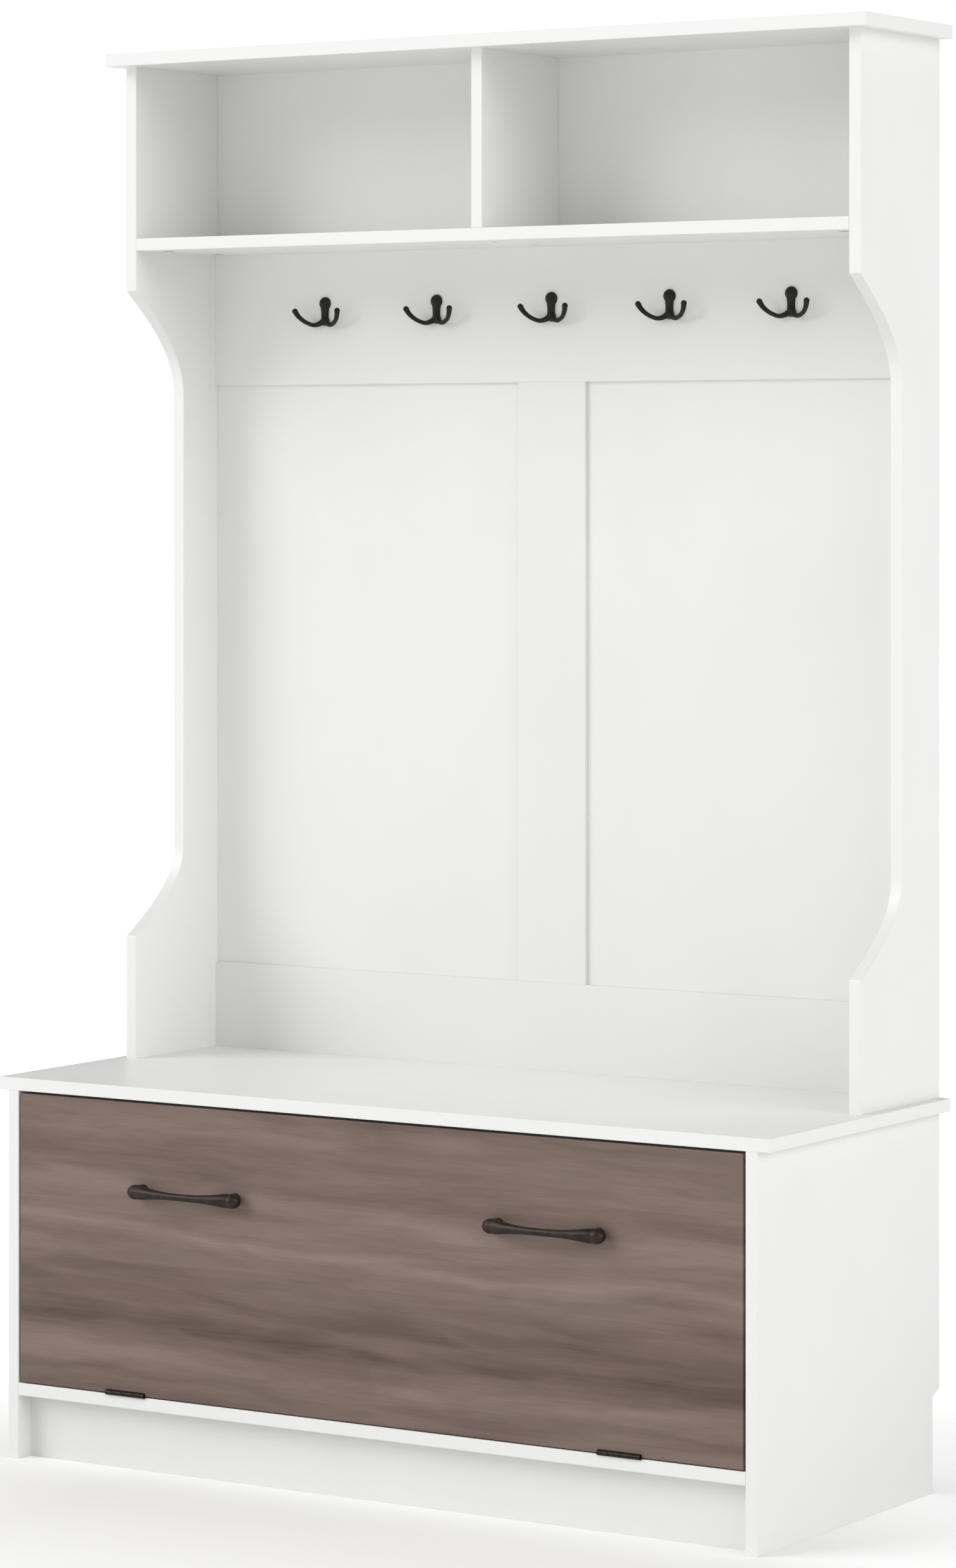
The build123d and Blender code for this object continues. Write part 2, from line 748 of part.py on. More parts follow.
# ---------------------------------------------------------------- drop-front door
with BuildPart() as drop_door:
    slab(-side_in + door_side_gap, side_in - door_side_gap, front, door_back, door_foot, door_head)
    fillet(drop_door.faces().sort_by(Axis.Y)[0].edges(), edge_round)
    for name, sign in SIDES:
        drill(handle_screws(sign), "+Y", handle_screw_r + head_play, board)
        drill(door_bracket_screws(sign), "-Y", screw_r, screw_length - bracket_metal)
        drill(strike_screws(sign), "-Y", screw_r, screw_length - strike_metal)
        hinge_recess(sign, door_leaf_depth, door_foot, door_foot + hinge_let_in)
        drill(door_leaf_screws(sign), "+Z", screw_r, screw_length - hinge_leaf)
save(drop_door, "drop_door")

# Foot sections off the door: (stand-off, half length, half height).
foot_sections = (
    (0.0, 7.6, 6.2),
    (4.0, 9.2, 7.3),
    (9.0, 10.0, 7.8),
    (13.5, 8.6, 6.4),
    (16.5, 5.4, 4.0),
    (17.6, 2.2, 1.8),
)
# Bar sections along the handle: (distance from the middle, half height, half thickness, stand-off).
bar_sections = (
    (66.0, 6.4, 5.2, 9.5),
    (57.0, 5.6, 4.8, 12.0),
    (46.0, 4.6, 4.3, 15.2),
    (32.0, 3.9, 3.9, 18.0),
    (16.0, 3.6, 3.6, 19.8),
    (0.0, 3.6, 3.6, handle_projection - 3.6),
)
bar_stations = [(-x, h, t, c) for x, h, t, c in bar_sections[:-1]]
bar_stations += [(x, h, t, c) for x, h, t, c in reversed(bar_sections)]
for name, sign in SIDES:
    with BuildPart() as handle:
        for x, half_height, half_thick, stand_off in bar_stations:
            with BuildSketch(Plane.YZ.offset(sign * handle_x + x)):
                with Locations((front - stand_off, handle_height)):
                    Ellipse(half_thick, half_height)
        loft()
        for foot_x in (-handle_foot_x, handle_foot_x):
            for stand_off, half_length, half_height in foot_sections:
                with BuildSketch(Plane.XZ.offset(stand_off - front)):
                    with Locations((sign * handle_x + foot_x, handle_height)):
                        Ellipse(half_length, half_height)
            loft()
        drill(handle_screws(sign), "-Y", handle_screw_r, handle_bite)
    save(handle, f"handle_{name}")

# ---------------------------------------------------------------- hinges
knuckle_end = hinge_length / 4
knuckle_mid = hinge_length - 2 * knuckle_end - 2 * hinge_air
knuckle_clear = hinge_barrel_r + hinge_notch_air
for name, sign in SIDES:
    middle = sign * hinge_x
    ends = (middle - hinge_length / 2, middle + hinge_length / 2)
    barrel_y = (axis_y - knuckle_clear, axis_y + knuckle_clear)
    barrel_z = (axis_z - knuckle_clear, axis_z + knuckle_clear)
    with BuildPart() as frame_leaf:
        slab(*ends, axis_y, front + frame_leaf_depth, frame_leaf_top - hinge_leaf, frame_leaf_top)
        rods([(ends[0], axis_y, axis_z)], "+X", hinge_barrel_r, knuckle_end)
        rods([(ends[1], axis_y, axis_z)], "-X", hinge_barrel_r, knuckle_end)
        clear = knuckle_mid / 2 + hinge_air
        cut(middle - clear, middle + clear, *barrel_y, *barrel_z)
        drill([(ends[0], axis_y, axis_z)], "+X", hinge_pin_r, hinge_length)
        drill(frame_leaf_screws(sign), "+Z", screw_r, hinge_leaf)
    save(frame_leaf, f"hinge_frame_leaf_{name}")
    with BuildPart() as door_leaf:
        slab(*ends, axis_y, front + door_leaf_depth, door_leaf_foot, door_leaf_top)
        for start in (ends[0], ends[1] - knuckle_end - hinge_air):
            cut(start, start + knuckle_end + hinge_air, *barrel_y, *barrel_z)
        rods([(middle - knuckle_mid / 2, axis_y, axis_z)], "+X", hinge_barrel_r, knuckle_mid)
        drill([(ends[0], axis_y, axis_z)], "+X", hinge_pin_r + running, hinge_length)
        drill(door_leaf_screws(sign), "-Z", screw_r, hinge_leaf)
    save(door_leaf, f"hinge_door_leaf_{name}")
    with BuildPart() as hinge_pin:
        rods([(ends[0], axis_y, axis_z)], "+X", hinge_pin_r, hinge_length)
    save(hinge_pin, f"hinge_pin_{name}")

# ---------------------------------------------------------------- stays
# Both arms are as long as the sides of a parallelogram on the hinge axis, the frame pivot, the
# door pivot and the elbow, so the frame arm turns with the door and the door arm stays parallel.
frame_pivot = (axis_y + stay_reach, axis_z + stay_frame_rise)
door_pivot = (axis_y + stay_door_offset, axis_z + stay_reach)
elbow = (frame_pivot[0] + stay_door_offset, frame_pivot[1] + stay_reach)
door_arm_x = stay_lug_x + stay_air                               # inner face of the door arm
frame_arm_x = door_arm_x + stay_metal + stay_air                 # inner face of the frame arm


def arm_outline(low_x, start, end, holes):
    """Outline of a flat bar with round ends between two pivots, in a plane of constant x."""
    middle = ((start[0] + end[0]) / 2, (start[1] + end[1]) / 2)
    length = math.dist(start, end)
    turn = math.degrees(math.atan2(end[1] - start[1], end[0] - start[0]))
    with BuildSketch(Plane.YZ.offset(low_x)) as outline:
        with Locations(Location((middle[0], middle[1], 0), (0, 0, turn))):
            SlotCenterToCenter(length, 2 * stay_half_width)
        for spot, radius in holes:
            with Locations(spot):
                Circle(radius, mode=Mode.SUBTRACT)
    return outline.sketch


def side_x(sign, x, thick):
    """Low x of a plate whose inner face is at x on the right, or its mirror on the left."""
    return x if sign > 0 else -x - thick


for name, sign in SIDES:
    outward = opposite(inward(sign))
    with BuildPart() as frame_arm:
        low_x = side_x(sign, frame_arm_x, stay_metal)
        holes = [(frame_pivot, stay_stud_r + running)]
        extrude(arm_outline(low_x, frame_pivot, elbow, holes), amount=stay_metal)
        root = [(sign * (frame_arm_x + stud_root), *elbow)]
        rods(root, inward(sign), stay_stud_r, stay_metal + 2 * stay_air + stud_root)
        tip = [(sign * (door_arm_x - stay_air), *elbow)]
        rods(tip, inward(sign), stud_head_r, stud_head)
    save(frame_arm, f"stay_frame_arm_{name}")
    with BuildPart() as door_arm:
        holes = [(door_pivot, stay_stud_r + running), (elbow, stay_stud_r + elbow_play)]
        low_x = side_x(sign, door_arm_x, stay_metal)
        extrude(arm_outline(low_x, door_pivot, elbow, holes), amount=stay_metal)
    save(door_arm, f"stay_door_arm_{name}")
    with BuildPart() as frame_bracket:
        plate = sorted((sign * (side_in - bracket_metal), sign * side_in))
        pivot_y, pivot_z = frame_pivot
        low_z, high_z = pivot_z - frame_bracket_half_height, pivot_z + frame_bracket_half_height
        slab(*plate, pivot_y - bracket_half, pivot_y + bracket_half, low_z, high_z)
        fillet(frame_bracket.edges().filter_by(Axis.X), bracket_corner_r)
        plate_face = [(sign * (side_in - bracket_metal), *frame_pivot)]
        collar = side_in - bracket_metal - frame_arm_x - stay_metal - stay_air
        rods(plate_face, inward(sign), stud_head_r, collar)
        rods(plate_face, inward(sign), stay_stud_r, side_in - bracket_metal - frame_arm_x + stay_air)
        head_at = [(sign * (frame_arm_x - stay_air), *frame_pivot)]
        rods(head_at, inward(sign), stud_head_r, stud_head)
        drill(stay_screws(sign), inward(sign), screw_r, bracket_metal)
    save(frame_bracket, f"stay_frame_bracket_{name}")
    with BuildPart() as door_bracket:
        base = sorted((sign * (stay_lug_x - door_bracket_width), sign * stay_lug_x))
        pivot_y, pivot_z = door_pivot
        low, high = pivot_z - bracket_half, pivot_z + bracket_half
        slab(*base, door_back, door_back + bracket_metal, low, high)
        lug = sorted((sign * (stay_lug_x - bracket_metal), sign * stay_lug_x))
        slab(*lug, door_back, pivot_y + stay_half_width, low + lug_step, high - lug_step)
        lug_tip = door_bracket.edges().filter_by(Axis.X).group_by(Axis.Y)[-1]
        fillet(lug_tip, lug_corner_r)
        root = [(sign * stay_lug_x, *door_pivot)]
        rods(root, outward, stay_stud_r, stay_metal + 2 * stay_air)
        tip = [(sign * (door_arm_x + stay_metal + stay_air), *door_pivot)]
        rods(tip, outward, stud_head_r, stud_head)
        drill(door_bracket_screws(sign), "+Y", screw_r, bracket_metal)
    save(door_bracket, f"stay_door_bracket_{name}")

# ---------------------------------------------------------------- magnetic catches
catch_head = seat_under - seat_rail_height
catch_foot = catch_head - catch_height
catch_front = door_back + catch_air
magnet_low = catch_foot + catch_floor
magnet_high = catch_head - magnet_roof
for name, sign in SIDES:
    middle = sign * catch_x
    with BuildPart() as catch:
        flange = (middle - catch_length / 2, middle + catch_length / 2)
        slab(*flange, catch_front, catch_front + catch_depth, catch_head - catch_flange, catch_head)
        housing = (middle - catch_housing_half, middle + catch_housing_half)
        slab(*housing, catch_front, catch_front + catch_depth, catch_foot, catch_head)
        fillet(catch.edges().filter_by(Axis.Z), catch_corner_r)
        well = (middle - magnet_half, middle + magnet_half)
        cut(*well, catch_front, catch_front + magnet_depth + magnet_play, magnet_low, magnet_high)
        drill(catch_screws(sign), "-Z", screw_r, catch_flange)
    save(catch, f"magnet_catch_{name}")

with BuildPart() as magnets:
    for name, sign in SIDES:
        inset = magnet_half - magnet_play
        block = (sign * catch_x - inset, sign * catch_x + inset)
        slab(*block, catch_front + magnet_play, catch_front + magnet_depth, magnet_low, magnet_high)
save(magnets, "catch_magnets")

with BuildPart() as strikes:
    for name, sign in SIDES:
        middle = sign * catch_x
        low = (catch_head + catch_foot) / 2 - strike_height / 2
        plate = (middle - strike_half, middle + strike_half)
        slab(*plate, door_back, door_back + strike_metal, low, low + strike_height)
    fillet(strikes.edges().filter_by(Axis.Y), strike_corner_r)
    for name, sign in SIDES:
        drill(strike_screws(sign), "+Y", screw_r, strike_metal)
save(strikes, "strike_plates")

# ---------------------------------------------------------------- coat hooks
for index, hook_x in enumerate(hook_xs, start=1):
    with BuildPart() as hook:
        with BuildSketch(Plane.XZ.offset(-rail_front)):
            with Locations((hook_x, hook_centre_height + hook_head_z)):
                Circle(hook_head_r)
            with Locations((hook_x, hook_centre_height + hook_foot_z)):
                Circle(hook_foot_r)
            with Locations((hook_x, hook_centre_height + (hook_head_z + hook_foot_z) / 2)):
                Rectangle(2 * hook_neck_half, hook_head_z - hook_foot_z)
        extrude(amount=hook_plate)
        fillet(hook.faces().sort_by(Axis.Y)[0].edges(), hook_plate_round)
        for way in (-1, 1):
            stops = []
            for dx, dy, dz in hook_arm_line:
                stops.append(Vector(hook_x + way * dx, rail_front + dy, hook_centre_height + dz))
            start_way = (way * hook_arm_start_way[0], *hook_arm_start_way[1:])
            end_way = (way * hook_arm_end_way[0], *hook_arm_end_way[1:])
            with BuildLine() as path:
                Spline(*stops, tangents=(start_way, end_way))
            with BuildSketch(Plane(origin=stops[0], z_dir=path.line % 0)):
                Circle(hook_arm_r)
            sweep()
            with Locations(stops[-1]):
                Sphere(hook_tip_r)
        spots = [p for p in hook_spots if p[0] == hook_x]
        drill(spots, "-Y", screw_r, hook_plate)
        drill([step(p, "-Y", hook_plate) for p in spots], "+Y", screw_head_r, screw_head)
    save(hook, f"coat_hook_{index}")

# ---------------------------------------------------------------- shared fasteners
def cross_slots(points, length, width, depth):
    """Cut a cross in the heads of screws along Y; the points are in the middle of the heads' tops."""
    with Locations(*points):
        Box(length, 2 * depth, width, mode=Mode.SUBTRACT)
        Box(width, 2 * depth, length, mode=Mode.SUBTRACT)


with BuildPart() as handle_screw_set:
    for name, sign in SIDES:
        tips = [step(p, "-Y", handle_bite) for p in handle_screws(sign)]
        rods(tips, "+Y", handle_screw_r, handle_bite + board)
        heads = [step(p, "+Y", board) for p in handle_screws(sign)]
        rods(heads, "+Y", 2 * handle_screw_r, handle_head)
        tops = [step(p, "+Y", handle_head) for p in heads]
        cross_slots(tops, handle_cross_length, handle_cross_width, handle_cross_depth)
save(handle_screw_set, "handle_screws")

with BuildPart() as hook_screw_set:
    seats = [step(p, "-Y", hook_plate - screw_head) for p in hook_spots]
    head = screw_head - hook_head_sink
    rods(seats, "-Y", screw_head_r - head_play, head)
    rods(seats, "+Y", screw_r, hook_plate - screw_head + screw_length - screw_play)
    cross_slots([step(p, "-Y", head) for p in seats], cross_length, cross_width, cross_depth)
save(hook_screw_set, "hook_screws")

with BuildPart() as frame_screws:
    for name, sign in SIDES:
        sets = (
            (stay_screws(sign), opposite(inward(sign)), bracket_metal),
            (catch_screws(sign), "+Z", catch_flange),
            (wall_bracket_screws(sign), "-Z", bracket_metal),
        )
        for spots, way, thick in sets:
            seats = [step(p, opposite(way), thick) for p in spots]
            rods(seats, way, screw_r, screw_length - screw_play)
            rods(seats, opposite(way), screw_head_r, screw_head)
        tops = [step(p, "+Z", hinge_leaf) for p in frame_leaf_screws(sign)]
        rods(tops, "-Z", screw_r, screw_length - screw_play)
save(frame_screws, "frame_hardware_screws")

with BuildPart() as door_screws:
    for name, sign in SIDES:
        seats = [step(p, "+Y", bracket_metal) for p in door_bracket_screws(sign)]
        rods(seats, "-Y", screw_r, screw_length - screw_play)
        rods(seats, "+Y", screw_head_r, screw_head)
        strike_faces = [step(p, "+Y", strike_metal) for p in strike_screws(sign)]
        rods(strike_faces, "-Y", screw_r, screw_length - screw_play)
        leaf_faces = [step(p, "-Z", hinge_leaf) for p in door_leaf_screws(sign)]
        rods(leaf_faces, "+Z", screw_r, screw_length - screw_play)
save(door_screws, "door_hardware_screws")

# Cam joints: (point on the seam, way into the board that holds the cam, side its cam opens to).
cam_joints = []
dowel_joints = []
for name, sign in SIDES:
    way = inward(sign)
    cam_joints += [(p, way, "-Z") for p in floor_cams(sign) + shelf_cams(sign)]
    cam_joints += [(p, way, "+Y") for p in kick_cams(sign, kick_mid) + seat_rail_cams(sign)]
    cam_joints += [(p, way, "-Y") for p in kick_cams(sign, rear_kick_mid) + back_rail_cams(sign)]
    cam_joints += [(p, way, "+Y") for p in hook_rail_cams(sign) + lower_rail_cams(sign)]
    cam_joints += [(p, "-Z", way) for p in seat_cams(sign)]
    dowel_joints += [(p, "X") for p in floor_dowels(sign) + shelf_dowels(sign)]
    dowel_joints += [(p, "X") for p in kick_dowels(sign, kick_mid) + kick_dowels(sign, rear_kick_mid)]
    dowel_joints += [(p, "X") for p in seat_rail_dowels(sign) + back_rail_dowels(sign)]
    dowel_joints += [(p, "X") for p in hook_rail_dowels(sign) + lower_rail_dowels(sign)]
    dowel_joints += [(p, "Z") for p in seat_dowels(sign) + hutch_foot_dowels(sign)]
dowel_joints += [(p, "Z") for p in stile_head_dowels + stile_foot_dowels + bench_divider_dowels]

slot_sizes = {
    "X": (2 * cam_slot_depth, cam_slot_length, cam_slot_width),
    "Y": (cam_slot_length, 2 * cam_slot_depth, cam_slot_width),
    "Z": (cam_slot_length, cam_slot_width, 2 * cam_slot_depth),
}
with BuildPart() as cam_locks:
    for point, way, opens in cam_joints:
        mouth = step(step(point, way, cam_reach), opens, board / 2)
        rods([mouth], opposite(opens), cam_r, cam_depth)
        bolt_end = step(point, way, cam_reach - cam_r - cam_wall)
        drill([bolt_end], way, cam_bolt_hole_r + cam_play, cam_r + cam_wall)
        with Locations(mouth):
            Box(*slot_sizes[opens[1]], mode=Mode.SUBTRACT)
save(cam_locks, "cam_locks")

with BuildPart() as cam_bolts:
    bite = cam_bolt_bite - screw_play
    for point, way, opens in cam_joints:
        rods([step(point, opposite(way), bite)], way, cam_bolt_r, bite + cam_reach - cam_bolt_short)
save(cam_bolts, "cam_bolts")

with BuildPart() as dowels:
    reach = dowel_half - screw_play
    for point, along in dowel_joints:
        rods([step(point, "-" + along, reach)], "+" + along, dowel_r, 2 * reach)
save(dowels, "dowels")

with BuildPart() as confirmats:
    for points, way in confirmat_sets:
        rods(points, way, confirmat_head_r - head_play, confirmat_head)
        rods(points, way, confirmat_r, confirmat_length - screw_play)
        with Locations(*points):
            Box(socket_width, socket_width, 2 * socket_depth, mode=Mode.SUBTRACT)
save(confirmats, "confirmat_screws")

# ---------------------------------------------------------------- anti-tip brackets
for name, sign in SIDES:
    width = (sign * wall_bracket_x - wall_bracket_half, sign * wall_bracket_x + wall_bracket_half)
    with BuildPart() as wall_bracket:
        slab(*width, rear - wall_bracket_depth, rear, total_height, total_height + bracket_metal)
        slab(*width, rear - bracket_metal, rear, total_height, total_height + wall_bracket_rise)
        fillet(wall_bracket.edges().filter_by(Axis.Y).group_by(Axis.Z)[-1], wall_bracket_corner_r)
        fillet(wall_bracket.edges().filter_by(Axis.Z).group_by(Axis.Y)[0], wall_bracket_corner_r)
        drill(wall_bracket_screws(sign), "+Z", screw_r, bracket_metal)
        wall_hole = (sign * wall_bracket_x, rear - bracket_metal, total_height + wall_hole_rise)
        drill([wall_hole], "+Y", wall_hole_r, bracket_metal)
    save(wall_bracket, f"wall_bracket_{name}")
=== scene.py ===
"""Looks of the hall tree: finishes, cast hooks and pulls, floor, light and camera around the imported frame."""

import math

import bpy
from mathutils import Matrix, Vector


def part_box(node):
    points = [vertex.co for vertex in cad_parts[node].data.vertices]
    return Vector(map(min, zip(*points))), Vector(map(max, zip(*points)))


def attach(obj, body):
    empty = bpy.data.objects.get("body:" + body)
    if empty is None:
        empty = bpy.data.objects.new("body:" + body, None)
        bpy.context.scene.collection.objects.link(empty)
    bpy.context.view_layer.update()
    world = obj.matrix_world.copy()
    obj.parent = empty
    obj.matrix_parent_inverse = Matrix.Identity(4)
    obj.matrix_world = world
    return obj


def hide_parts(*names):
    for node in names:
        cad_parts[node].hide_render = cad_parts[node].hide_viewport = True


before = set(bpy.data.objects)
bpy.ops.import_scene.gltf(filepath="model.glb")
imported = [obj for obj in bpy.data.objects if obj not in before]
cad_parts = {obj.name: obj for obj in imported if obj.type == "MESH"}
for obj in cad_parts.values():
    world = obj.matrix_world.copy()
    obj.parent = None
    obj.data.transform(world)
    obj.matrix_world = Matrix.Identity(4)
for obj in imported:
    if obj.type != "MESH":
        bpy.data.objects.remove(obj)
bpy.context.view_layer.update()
scene = bpy.context.scene

MM = 0.001

# ---------------------------------------------------------------- camera
CAMERA_PLACE = (3.16482, -4.88367, 1.15821)
CAMERA_TURN = 0.5715
CAMERA_LENS = 115.344
CAMERA_SENSOR = 36
CAMERA_SHIFT = -0.19653
CAMERA_REACH = 200

camera = bpy.data.objects.new("camera", bpy.data.cameras.new("camera"))
scene.collection.objects.link(camera)
camera.location = CAMERA_PLACE
camera.rotation_euler = (math.pi / 2, 0, CAMERA_TURN)
camera.data.sensor_width = CAMERA_SENSOR
camera.data.lens = CAMERA_LENS
camera.data.shift_y = CAMERA_SHIFT
camera.data.clip_end = CAMERA_REACH
scene.camera = camera
scene.view_settings.view_transform = "Standard"
scene.view_settings.look = "None"


# ---------------------------------------------------------------- shader building
# A mix node has sockets for each kind of value: these are the ones for colours.
MIX_SHARE, MIX_FIRST, MIX_SECOND, MIX_RESULT = 0, 6, 7, 2
NUMBER_STEPS = ("DOT_PRODUCT", "LENGTH")     # the vector steps that give a number
BEVEL_SAMPLES = 4
NOISE_MIDDLE = (0.3, 0.7)                    # the range that most of a noise's values keep to
NOISE_WIDE = (0.25, 0.75)


class Finish:
    """A procedural material: its nodes, its shader and its coordinates in metres."""

    def __init__(self, name, **shader_values):
        self.material = bpy.data.materials.new(name)
        self.material.use_nodes = True
        self.tree = self.material.node_tree
        self.shader = self.tree.nodes["Principled BSDF"]
        self.place = self.add("ShaderNodeTexCoord").outputs["Object"]
        for socket, value in shader_values.items():
            self.shader.inputs[socket.replace("_", " ")].default_value = value

    def add(self, kind, inputs=None, **settings):
        made = self.tree.nodes.new(kind)
        for key, value in settings.items():
            setattr(made, key, value)
        for key, value in (inputs or {}).items():
            self.feed(value, made.inputs[key])
        return made

    def feed(self, value, socket):
        if isinstance(value, bpy.types.NodeSocket):
            self.tree.links.new(value, socket)
        else:
            socket.default_value = value

    def stretched(self, factors, shift):
        """Coordinates multiplied by factors, in pattern cycles for each metre."""
        made = self.add("ShaderNodeMapping", {"Vector": self.place, "Scale": factors, "Location": shift})
        return made.outputs["Vector"]

    def noise(self, factors, detail=2.0, roughness=0.5, distortion=0.0, shift=(0, 0, 0)):
        made = self.add(
            "ShaderNodeTexNoise",
            {
                "Vector": self.stretched(factors, shift),
                "Scale": 1.0,
                "Detail": detail,
                "Roughness": roughness,
                "Distortion": distortion,
            },
        )
        return made.outputs["Fac"]

    def span(self, value, low, high, to_low=0.0, to_high=1.0):
        """Maps low to high onto to_low to to_high, and keeps to those ends beyond them."""
        made = self.add(
            "ShaderNodeMapRange",
            {"Value": value, "From Min": low, "From Max": high, "To Min": to_low, "To Max": to_high},
        )
        return made.outputs["Result"]

    def math(self, operation, first, second=0.0):
        made = self.add("ShaderNodeMath", {0: first, 1: second}, operation=operation)
        return made.outputs[0]

    def vector_math(self, operation, first, second=(0.0, 0.0, 0.0)):
        made = self.add("ShaderNodeVectorMath", {0: first, 1: second}, operation=operation)
        return made.outputs["Value" if operation in NUMBER_STEPS else "Vector"]

    def mix(self, share, first, second):
        inputs = {MIX_SHARE: share, MIX_FIRST: first, MIX_SECOND: second}
        return self.add("ShaderNodeMix", inputs, data_type="RGBA").outputs[MIX_RESULT]

    def ramp(self, value, stops):
        made = self.add("ShaderNodeValToRGB", {"Fac": value})
        elements = made.color_ramp.elements
        for stop in stops[len(elements):]:
            elements.new(stop[0])
        for element, (position, colour) in zip(elements, stops):
            element.position = position
            element.color = colour
        return made.outputs["Color"]

    def normal(self):
        return self.add("ShaderNodeNewGeometry").outputs["Normal"]

    def rounded(self, radius):
        """The surface's direction with its corners rounded off."""
        return self.add("ShaderNodeBevel", {"Radius": radius}, samples=BEVEL_SAMPLES).outputs["Normal"]

    def edges(self, radius, low=0.004, high=0.12):
        """1 on the piece's corners, 0 on its flats."""
        likeness = self.vector_math("DOT_PRODUCT", self.rounded(radius), self.normal())
        return self.span(self.math("SUBTRACT", 1.0, likeness), low, high)

    def bump(self, height, depth, strength, under=None):
        inputs = {"Height": height, "Distance": depth, "Strength": strength}
        if under is not None:
            inputs["Normal"] = under
        return self.add("ShaderNodeBump", inputs).outputs["Normal"]

    def wear(self, colour, roughness, normal):
        for value, socket in ((colour, "Base Color"), (roughness, "Roughness"), (normal, "Normal")):
            self.feed(value, self.shader.inputs[socket])
        return self.material


def tone(red, green, blue):
    """A colour given in display values from 0 to 255, as linear light by the sRGB curve."""
    linear = []
    for value in (red, green, blue):
        share = value / 255
        linear.append(share / 12.92 if share <= 0.04045 else ((share + 0.055) / 1.055) ** 2.4)
    return (*linear, 1.0)


# ---------------------------------------------------------------- finishes
BOARD_TONES = (tone(240, 240, 239), tone(236, 236, 233), tone(207, 205, 198))
BOARD_PEEL = 0.02 * MM
# Brighter tone of the front-facing edges: part whiter edge banding, part painted sheen.
BOARD_BAND_AND_SHEEN = tone(244, 244, 243)
SHEET_TONES = (tone(242, 242, 241), tone(237, 237, 234), tone(204, 202, 195))
SHEET_PEEL = 0.03 * MM
# The Y part of a surface's direction at which the brighter front-edge tone begins and is full (part whiter
# banding, part painted sheen): the front is -Y.
BAND_AND_SHEEN_FACING = (-0.80, -0.95)
HANDLED_WIDTH = 0.9 * MM
BOARD_ROUNDING = 0.5 * MM


def melamine(name, tones, peel_depth, band_and_sheen=None):
    """White facing on board: faint clouding, pressed orange-peel skin, edge-band seam, handled edges.

    The tones are the skin's light and shaded parts and the seam that shows where edges are handled.
    Boards with a band get a brighter tone on the edges that face the front: part whiter edge banding, part
    painted sheen.
    """
    light, shade, seam = tones
    finish = Finish(name, Specular_IOR_Level=0.45)
    cloud = finish.noise((3.0, 3.0, 2.2), detail=3, roughness=0.6)
    fleck = finish.noise((650, 650, 650), detail=2)
    ground = finish.mix(finish.span(cloud, *NOISE_MIDDLE), shade, light)
    ground = finish.mix(finish.span(fleck, 0.62, 0.8, to_high=0.16), ground, shade)
    if band_and_sheen is not None:
        # Faces that point to the front are lighter: part whiter band, part painted sheen.
        facing = finish.add("ShaderNodeSeparateXYZ", {"Vector": finish.normal()})
        ground = finish.mix(finish.span(facing.outputs["Y"], *BAND_AND_SHEEN_FACING), ground, band_and_sheen)
    edge = finish.edges(HANDLED_WIDTH)
    scuff = finish.span(finish.noise((45, 45, 45), detail=4, roughness=0.7), 0.42, 0.66)
    worn = finish.math("MULTIPLY", edge, finish.math("ADD", finish.math("MULTIPLY", scuff, 0.35), 0.15))
    ground = finish.mix(worn, ground, seam)
    smear = finish.noise((9, 9, 5), detail=4, roughness=0.6, distortion=0.6)
    dull = finish.span(smear, *NOISE_MIDDLE, 0.33, 0.45)
    dull = finish.math("ADD", dull, finish.math("MULTIPLY", edge, 0.12))
    peel = finish.noise((420, 420, 420), detail=2, roughness=0.5)
    grit = finish.noise((1900, 1900, 1900), detail=1)
    normal = finish.bump(grit, 0.25 * peel_depth, strength=0.5, under=finish.rounded(BOARD_ROUNDING))
    normal = finish.bump(peel, peel_depth, strength=0.6, under=normal)
    return finish.wear(ground, dull, normal)


# Walnut print: (share of the door's height, how light the wood is there).
WALNUT_BANDS = (
    (0.000, 0.44),
    (0.060, 0.45),
    (0.105, 0.57),
    (0.145, 0.61),
    (0.185, 0.39),
    (0.225, 0.25),
    (0.300, 0.30),
    (0.350, 0.31),
    (0.400, 0.42),
    (0.460, 0.50),
    (0.500, 0.55),
    (0.545, 0.71),
    (0.585, 0.55),
    (0.620, 0.53),
    (0.665, 0.69),
    (0.710, 0.60),
    (0.750, 0.44),
    (0.790, 0.44),
    (0.825, 0.53),
    (0.860, 0.41),
    (0.900, 0.61),
    (0.940, 0.50),
    (1.000, 0.36),
)
WALNUT_FALL = 0.012          # drop of the bands for each metre to the right
WALNUT_DRIFT = 13 * MM       # slow wander of the bands up and down
WALNUT_RIPPLE = 9 * MM       # waviness of their edges
WALNUT_TONES = (
    (0.00, tone(80, 63, 56)),
    (0.25, tone(104, 86, 78)),
    (0.50, tone(122, 103, 94)),
    (0.75, tone(138, 118, 110)),
    (1.00, tone(154, 135, 127)),
)
WALNUT_BLUSH = tone(130, 120, 104)
WALNUT_PORE = tone(70, 54, 47)
WALNUT_EDGE = tone(84, 68, 60)


